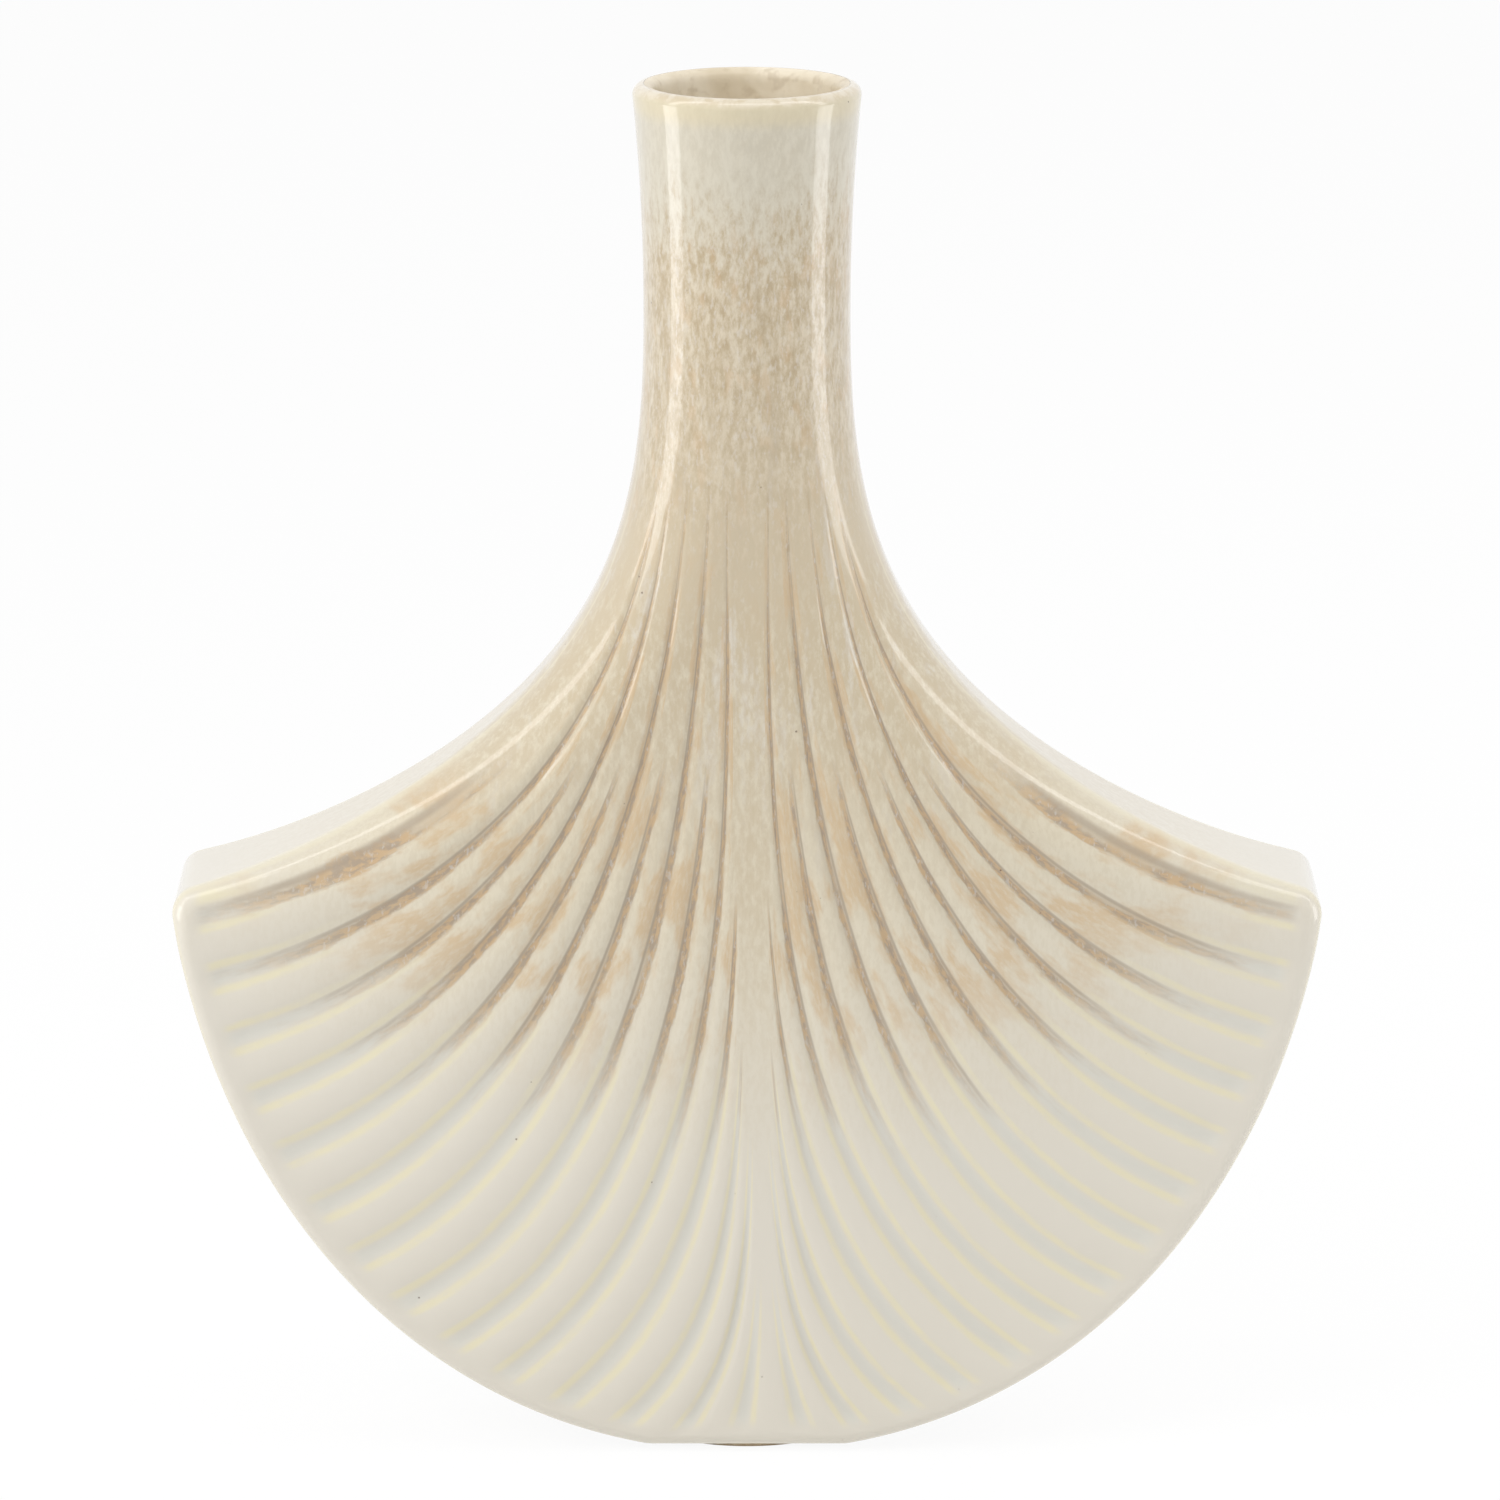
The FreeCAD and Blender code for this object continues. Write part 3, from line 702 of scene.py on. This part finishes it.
# Colours of the ridges: cream, pinkish grey low in the fan, tan and pale flecks near the neck.
cream = srgb(209, 199, 176)
pink_grey = srgb(211, 205, 192)
fawn_fleck = srgb(194, 181, 155)
tan_mottle = srgb(187, 170, 140)
pale_run = srgb(213, 209, 202)
plain_tan = srgb(192, 176, 147)
patch_tan = srgb(196, 168, 128)

# Colours of the grooves: brown where the glaze is thin, yellow lines where it is thick. The grey
# and the tan are painted shade in the groove bottoms, grey where the glaze lies thick and tan where
# it is thin, and the dark line brown is a painted shadow along one side.
brown_dark = srgb(160, 142, 120)
brown_warm = srgb(188, 159, 120)
brown_fleck = srgb(193, 190, 184)
side_yellow = srgb(219, 211, 178)
thick_glaze_shade_grey = srgb(207, 206, 197)
thin_glaze_shade_tan = srgb(182, 166, 141)
shadow_line_brown = srgb(152, 137, 118)

# Colours of the neck, and of its paler top.
neck_dark = srgb(173, 153, 119)
neck_light = srgb(208, 196, 173)
neck_freckle = srgb(196, 161, 117)
neck_fleck = srgb(212, 207, 200)
neck_run = srgb(170, 152, 120)
top_dark = srgb(194, 187, 169)
top_light = srgb(204, 198, 181)

# Colours of the edges, the lip, its crown and the pinholes.
edge_yellow = srgb(222, 213, 180)
lip_yellow = srgb(211, 197, 160)
crown_tan = srgb(203, 187, 158)
crown_pale = srgb(219, 208, 188)
pit_brown = srgb(96, 70, 48)

# Grains of the glaze: cells per metre, levels of detail and how strong the finer levels are.
drip_grain = (620.0, 5.0, 0.7)
fleck_grain = (1100.0, 3.0, 0.6)
streak_grain = (170.0, 3.0, 0.6)
cloud_grain = (18.0, 3.0, 0.5)
fine_grain = (260.0, 4.0, 0.65)
freckle_grain = (300.0, 2.0, 0.55)
swell_grain = (40.0, 2.0, 0.5)
pit_patch_grain = (60.0, 3.0, 0.55)
pit_cells = 170.0

# How far drips and streaks are drawn out downwards, as the share left of their upright place.
drip_stretch = (1.0, 1.0, 0.42)
streak_stretch = (1.0, 1.0, 0.12)

# Patterns that follow the pleats: cells across one pleat, cells per metre down it, the layer of
# the noise and its levels of detail.
run_cells = (2.4, 45.0, 0.0, 4.0)
jag_cells = (9.0, 330.0, 0.0, 3.0)
blotch_cells = (0.9, 42.0, 2.0, 4.0)
cell_roughness = 0.6

# Distances from the top of the fan, in metres, over which each look sets in, and how far the
# patterns push them about.
flat_shares = (1.0, 0.0, 1.0)
fan_top = (0.0, 0.0, neck_base_height / per_metre)
far_reach = (0.12, 0.2)
far_swing = 0.03
near_reach = (0.15, 0.05)
near_swing = 0.07
thin_reach = (0.185, 0.15)
thin_swing = 0.06
patch_reach = (0.178, 0.145)
plain_reach = (0.18, 0.12)

# Heights, as shares of the vase's, over which each look sets in, and how far they are pushed.
neck_heights = (0.58, 0.8)
neck_swing = 0.15
top_heights = (0.875, 0.955)
top_drip_swing = 0.14
top_cloud_swing = 0.12
edge_heights = (0.8, 0.6)
lip_heights = (0.975, 0.988)
lip_swing = 0.006
crown_heights = (0.993, 0.9975)
crown_swing = 0.004

# Places and widths across a pleat, in shares of its pitch: the brown band, the yellow line on each
# side, the painted shade in the groove bottom and the fine dark painted shadow line. The edge's
# line is in millimetres.
band_shift = 0.04
band_width = (0.14, 0.05)
band_run_swing = 0.42
band_jag_swing = 0.16
yellow_place = 0.2
yellow_width = (0.1, 0.02)
yellow_swing = 0.1
groove_bottom_shade_width = (0.16, 0.04)
shadow_line_shift = 0.09
shadow_line_width = (0.06, 0.01)
edge_width = (1.1, 0.2)

# Parts of each pattern that show: where it sets in, where it is full and, for some, how strong
# it is at both ends.
shown_part = (0.1, 0.8)
ridge_fleck_part = (0.42, 0.62)
mottle_part = (0.35, 0.6, 0.2, 0.95)
ridge_run_part = (0.55, 0.68)
ridge_run_swing = 0.4
patch_part = (0.47, 0.6)
patch_jag_part = (0.3, 0.6, 0.35, 0.75)
plain_part = (0.35, 0.65)
plain_swing = 0.5
warm_part = (0.4, 0.58)
brown_fleck_part = (0.55, 0.68)
yellow_part = (0.7, 1.1, 0.45, 1.0)
band_part = (0.25, 0.5, 0.45, 0.95)
neck_drip_part = (0.32, 0.68)
freckle_part = (0.54, 0.68)
neck_fleck_part = (0.52, 0.7)
neck_run_part = (0.5, 0.7)
top_drip_part = (0.35, 0.65)
crown_part = (0.4, 0.6)
pit_width = (0.05, 0.02)
pit_patch_part = (0.54, 0.6)

# How strongly each layer covers what lies under it.
ridge_fleck_cover = 0.35
ridge_run_cover = 0.55
plain_cover = 0.6
brown_fleck_cover = 0.5
yellow_cover = 0.8
# The next two cover painted shade in the groove bottoms and the painted shadow line beside each
# groove.
groove_bottom_shade_cover = 0.6
shadow_line_cover = 0.6
freckle_cover = 0.3
neck_fleck_cover = 0.4
neck_run_cover = 0.35
neck_cover = 0.92
edge_cover = 0.45
lip_cover = 0.55
crown_cover = 0.8
pit_cover = 0.7

# Relief of the glaze in metres, the shares of its parts, and the gloss: rougher low down.
glaze_relief_depth = 0.00025
fine_relief = 0.08
pit_relief = 0.5
glaze_roughness = (0.3, 0.6, 0.45, 0.32)
roughness_swing = 0.2
coat_roughness = 0.06


def glaze_material():
    """The glaze in layers: ridges, grooves, neck, and over them the lip, edges and pinholes."""
    n = Nodes(bpy.data.materials.new("outer_glaze_look"))
    spot = n.add("ShaderNodeTexCoord", output="Object")
    shown = n.ramp(n.read("shown"), *shown_part)
    height_share = n.read("height")
    across = n.read("across")
    from_edge = n.read("from_edge")
    flat_spot = n.stretched(spot, flat_shares)
    distance = {"operation": "DISTANCE"}
    reach = n.add("ShaderNodeVectorMath", distance, "Value", _0=flat_spot, _1=fan_top)

    def down_pleats(per_pleat, per_metre_down, layer, detail):
        """Noise that is drawn out along the pleats."""
        place = {"X": across * per_pleat, "Y": reach * per_metre_down, "Z": layer}
        return n.noise(n.add("ShaderNodeCombineXYZ", **place), 1.0, detail, cell_roughness)

    tall = n.stretched(spot, drip_stretch)
    drips = n.noise(tall, *drip_grain)
    flecks = n.noise(tall, *fleck_grain)
    streaks = n.noise(n.stretched(spot, streak_stretch), *streak_grain)
    cloud = n.noise(spot, *cloud_grain)
    fine = n.noise(spot, *fine_grain)
    runs = down_pleats(*run_cells)
    jags = down_pleats(*jag_cells)
    blotches = down_pleats(*blotch_cells)
    far = n.ramp(reach + cloud.swing(far_swing), *far_reach)
    near = n.ramp(reach + runs.swing(near_swing), *near_reach)
    thin = n.ramp(reach + runs.swing(thin_swing), *thin_reach)
    # Place across the pleat: 0 on the groove's line, negative towards the fan's axis.
    groove_start = 0.5 - first_groove_share / groove_pitch_share
    pleat = (abs(across) + groove_start).math("FRACT") - 0.5

    # Ridges: cream, mottled with tan towards the neck, pinkish grey in the lower fan.
    ridge = n.blend(far, cream, pink_grey)
    fleck = n.ramp(flecks, *ridge_fleck_part) * (1.0 - far) * ridge_fleck_cover
    ridge = n.blend(fleck, ridge, fawn_fleck)
    ridge = n.blend(near * n.ramp(drips, *mottle_part), ridge, tan_mottle)
    run = n.ramp(streaks + flecks.swing(ridge_run_swing), *ridge_run_part)
    ridge = n.blend(near * run * ridge_run_cover, ridge, pale_run)
    plain = (1.0 - shown) * n.ramp(reach, *plain_reach)
    plain = plain * n.ramp(drips + cloud.swing(plain_swing), *plain_part)
    ridge = n.blend(plain * plain_cover, ridge, plain_tan)
    patch = n.ramp(blotches, *patch_part) * n.ramp(reach, *patch_reach) * shown
    ridge = n.blend(patch * n.ramp(jags, *patch_jag_part), ridge, patch_tan)

    # Grooves: jagged brown bottoms where the glaze has run thin, each with a pale yellow line along
    # both sides. Painted shade darkens the groove bottoms, grey where the glaze lies thick and tan
    # where it is thin, and a fine dark painted shadow line runs along one side of the upper
    # grooves.
    spread = runs.swing(band_run_swing) + jags.swing(band_jag_swing)
    band = n.ramp(abs(pleat + band_shift) - spread, *band_width) * shown
    brown = n.blend(n.ramp(jags, *warm_part), brown_dark, brown_warm)
    brown = n.blend(n.ramp(flecks, *brown_fleck_part) * brown_fleck_cover, brown, brown_fleck)
    to_yellow = abs(abs(pleat) - yellow_place - runs.swing(yellow_swing))
    yellow = n.ramp(to_yellow, *yellow_width) * n.ramp(jags + runs, *yellow_part) * shown
    # Painted shade in each groove's bottom, grey low in the fan and tan higher up.
    groove_bottom_shade = n.ramp(abs(pleat), *groove_bottom_shade_width) * shown
    # The fine dark line along one side of each upper groove is a painted shadow.
    line = n.ramp(abs(pleat - shadow_line_shift), *shadow_line_width) * shown
    body = n.blend(yellow * (1.0 - thin) * yellow_cover, ridge, side_yellow)
    body = n.blend(groove_bottom_shade * (1.0 - thin) * groove_bottom_shade_cover, body, thick_glaze_shade_grey)
    body = n.blend(groove_bottom_shade * thin * groove_bottom_shade_cover, body, thin_glaze_shade_tan)
    body = n.blend(band * thin * n.ramp(runs, *band_part), body, brown)
    body = n.blend(line * thin * shadow_line_cover, body, shadow_line_brown)

    # Neck: speckled tan in the middle, greyer and smoother below the lip, with pale flecks.
    tan = n.blend(n.ramp(drips, *neck_drip_part), neck_dark, neck_light)
    freckles = n.ramp(n.noise(tall, *freckle_grain), *freckle_part)
    tan = n.blend(freckles * freckle_cover, tan, neck_freckle)
    tan = n.blend(n.ramp(flecks, *neck_fleck_part) * neck_fleck_cover, tan, neck_fleck)
    tan = n.blend(n.ramp(streaks, *neck_run_part) * neck_run_cover, tan, neck_run)
    to_top = height_share + drips.swing(top_drip_swing) + cloud.swing(top_cloud_swing)
    pale = n.blend(n.ramp(drips, *top_drip_part), top_dark, top_light)
    tan = n.blend(n.ramp(to_top, *top_heights) * neck_cover, tan, pale)
    neck = n.ramp(height_share + cloud.swing(neck_swing), *neck_heights)
    colour = n.blend(neck * neck_cover, body, tan)

    # Lip and edges: thin yellowish lines where the glaze has drawn back, and a few pinholes.
    edge = n.ramp(abs(from_edge), *edge_width) * n.ramp(height_share, *edge_heights)
    colour = n.blend(edge * edge_cover, colour, edge_yellow)
    lip = n.ramp(height_share + drips.swing(lip_swing), *lip_heights)
    colour = n.blend(lip * lip_cover, colour, lip_yellow)
    crown = n.ramp(height_share + fine.swing(crown_swing), *crown_heights)
    crown_colour = n.blend(n.ramp(fine, *crown_part), crown_tan, crown_pale)
    colour = n.blend(crown * crown_cover, colour, crown_colour)
    cells = n.add("ShaderNodeTexVoronoi", Vector=spot, Scale=pit_cells)
    pit = n.ramp(cells, *pit_width) * n.ramp(n.noise(spot, *pit_patch_grain), *pit_patch_part)
    colour = n.blend(pit * pit_cover, colour, pit_brown)
    relief = n.noise(spot, *swell_grain) + fine * fine_relief - pit * pit_relief
    roughness = n.ramp(height_share + fine.swing(roughness_swing), *glaze_roughness)
    coat = {"Coat_Weight": 1.0, "Coat_Roughness": coat_roughness}
    return n.finish(n.surface(colour, roughness, relief, glaze_relief_depth, **coat))


glaze_skin = glaze_object()
glaze_skin.data.materials.append(glaze_material())
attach(glaze_skin, "root")
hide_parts("outer_glaze")


# Liner glaze: a thin cream-tan layer, poured in and out of the vase before it is fired. It covers
# the bore and the inside of the body, and meets the outer glaze at the crown of the lip.
liner_tan = srgb(210, 196, 170)
liner_cream = srgb(234, 224, 204)
liner_fleck = srgb(184, 166, 138)
liner_cloud_grain = (45.0, 4.0, 0.6)
liner_fleck_grain = (300.0, 2.0, 0.6)
liner_cream_part = (0.35, 0.65)
liner_fleck_part = (0.5, 0.7)
liner_fleck_cover = 0.4
liner_fleck_relief = 0.2
liner_roughness = (0.3, 0.7, 0.28, 0.42)
liner_relief_depth = 0.0003


def liner_material():
    n = Nodes(bpy.data.materials.new("liner_glaze_look"))
    spot = n.add("ShaderNodeTexCoord", output="Object")
    cloud = n.noise(spot, *liner_cloud_grain)
    flecks = n.noise(spot, *liner_fleck_grain)
    colour = n.blend(n.ramp(cloud, *liner_cream_part), liner_tan, liner_cream)
    colour = n.blend(n.ramp(flecks, *liner_fleck_part) * liner_fleck_cover, colour, liner_fleck)
    roughness = n.ramp(cloud, *liner_roughness)
    relief = cloud + flecks * liner_fleck_relief
    return n.finish(n.surface(colour, roughness, relief, liner_relief_depth))


inner_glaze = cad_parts["inner_glaze"]
inner_glaze.data.materials.clear()
inner_glaze.data.materials.append(liner_material())


# Clay neck, two pressed shells and the foot: fired buff stoneware, joined with slip before it is
# fired. Glaze hides all of it but the foot, which is left bare so that it doesn't stick.
clay_dark = srgb(192, 170, 140)
clay_light = srgb(216, 200, 174)
clay_patch = srgb(202, 176, 142)
clay_grain = (500.0, 3.0, 0.65)
clay_cloud_grain = (40.0, 3.0, 0.5)
clay_light_part = (0.35, 0.65)
clay_patch_part = (0.45, 0.65)
clay_patch_cover = 0.5
clay_roughness = (0.3, 0.7, 0.75, 0.9)
clay_relief_depth = 0.0003
clay_specular = 0.3


def clay_material():
    n = Nodes(bpy.data.materials.new("clay_look"))
    spot = n.add("ShaderNodeTexCoord", output="Object")
    grain = n.noise(spot, *clay_grain)
    cloud = n.noise(spot, *clay_cloud_grain)
    colour = n.blend(n.ramp(grain, *clay_light_part), clay_dark, clay_light)
    colour = n.blend(n.ramp(cloud, *clay_patch_part) * clay_patch_cover, colour, clay_patch)
    roughness = n.ramp(grain, *clay_roughness)
    shine = {"Specular_IOR_Level": clay_specular}
    return n.finish(n.surface(colour, roughness, grain, clay_relief_depth, **shine))


clay = clay_material()
for name in ("neck", "front_shell", "rear_shell", "foot"):
    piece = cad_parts[name]
    piece.data.materials.clear()
    piece.data.materials.append(clay)


# Camera: a long lens two metres away, a little above the mouth, looking slightly down.
look_down_degrees = 12.92
camera_data = bpy.data.cameras.new("camera")
camera_data.sensor_width = 36.0
camera_data.lens = 225.55
camera_data.clip_end = 50.0
camera = bpy.data.objects.new("camera", camera_data)
camera.location = (0.00065, -2.0, 0.6117)
camera.rotation_euler = (quarter_turn - math.radians(look_down_degrees), 0.0, 0.0)
bpy.context.scene.collection.objects.link(camera)
bpy.context.scene.camera = camera


# Floor: a pale matt sheet just under the foot, far wider than the picture. It takes the vase's
# shadow, and is nearly white where it is seen directly.
floor_half_width = 6.0
floor_drop = 0.0002
floor_grain = (3.0, 3.0, 0.55)
floor_roughness = 0.8
floor_specular = 0.1
floor_white_share = 0.93
floor_grey = srgb(250, 250, 250)
floor_pale = srgb(253, 253, 253)
white = (1.0, 1.0, 1.0, 1.0)


def seen_directly(n):
    """1 for what the camera, a gloss or a clear piece sees, and 0 for plain light."""
    camera_ray = n.add("ShaderNodeLightPath", output="Is Camera Ray")
    glossy_ray = n.add("ShaderNodeLightPath", output="Is Glossy Ray")
    clear_ray = n.add("ShaderNodeLightPath", output="Is Transmission Ray")
    return camera_ray.math("MAXIMUM", glossy_ray).math("MAXIMUM", clear_ray)


def floor_material():
    n = Nodes(bpy.data.materials.new("floor_look"))
    grain = n.noise(n.add("ShaderNodeTexCoord", output="Object"), *floor_grain)
    colour = n.blend(grain, floor_grey, floor_pale)
    lit = n.surface(colour, floor_roughness, Specular_IOR_Level=floor_specular)
    glow = n.add("ShaderNodeEmission", Color=white, Strength=1.0)
    share = seen_directly(n) * floor_white_share
    return n.finish(n.add("ShaderNodeMixShader", _0=share, _1=lit, _2=glow))


floor_sides = [(-1, -1), (1, -1), (1, 1), (-1, 1)]
floor_corners = [(floor_half_width * x, floor_half_width * y, 0.0) for x, y in floor_sides]
floor_mesh = bpy.data.meshes.new("floor")
floor_mesh.from_pydata(floor_corners, [], [(0, 1, 2, 3)])
floor = bpy.data.objects.new("floor", floor_mesh)
floor.location.z = -floor_drop
bpy.context.scene.collection.objects.link(floor)
floor_mesh.materials.append(floor_material())


# Lamps: soft boxes. The low ones at both sides draw the upright highlights on the neck, and the
# tilted strips above them draw those on the shoulders. The key and back boxes only give light.
# Each row: name, place and the point it faces in metres, width and height, watts, mirrored.
lamps = [
    ("left_box", (-0.5955, -0.073, 0.17), (0.0, 0.0, 0.17), (0.19, 0.3), 0.48, True),
    ("left_strip", (-0.46, -0.07, 0.66), (0.0, 0.0, 0.17), (0.11, 0.7), 0.65, True),
    ("right_box", (0.598, -0.048, 0.17), (0.0, 0.0, 0.17), (0.21, 0.3), 0.5, True),
    ("right_strip", (0.46, -0.06, 0.66), (0.0, 0.0, 0.17), (0.11, 0.7), 0.65, True),
    ("top_box", (0.0, -0.5, 1.6), (0.0, 0.0, 0.15), (1.4, 0.35), 3.2, True),
    ("key_box", (-0.8, -0.9, 1.1), (0.0, 0.0, 0.13), (0.7, 0.7), 7.5, False),
    ("back_box", (0.8, 0.9, 1.1), (0.0, 0.0, 0.13), (0.7, 0.7), 3.0, False),
]
for name, place, aim, size, power, mirrored in lamps:
    lamp_data = bpy.data.lights.new(name, "AREA")
    lamp_data.shape = "RECTANGLE"
    lamp_data.size, lamp_data.size_y = size
    lamp_data.energy = power
    lamp = bpy.data.objects.new(name, lamp_data)
    lamp.location = place
    lamp.visible_glossy = mirrored
    lamp.rotation_euler = (Vector(aim) - Vector(place)).to_track_quat("-Z", "Y").to_euler()
    bpy.context.scene.collection.objects.link(lamp)


# Room: plain white all round, dimmer as light on the vase than where it is seen directly.
room_strength = 0.59
n = Nodes(bpy.data.worlds.new("room"))
room_light = n.add("ShaderNodeBackground", Color=white, Strength=room_strength)
room_seen = n.add("ShaderNodeBackground", Color=white, Strength=1.0)
room = n.add("ShaderNodeMixShader", _0=seen_directly(n), _1=room_light, _2=room_seen)
bpy.context.scene.world = n.finish(room, "ShaderNodeOutputWorld")
bpy.context.scene.view_settings.view_transform = "Standard"
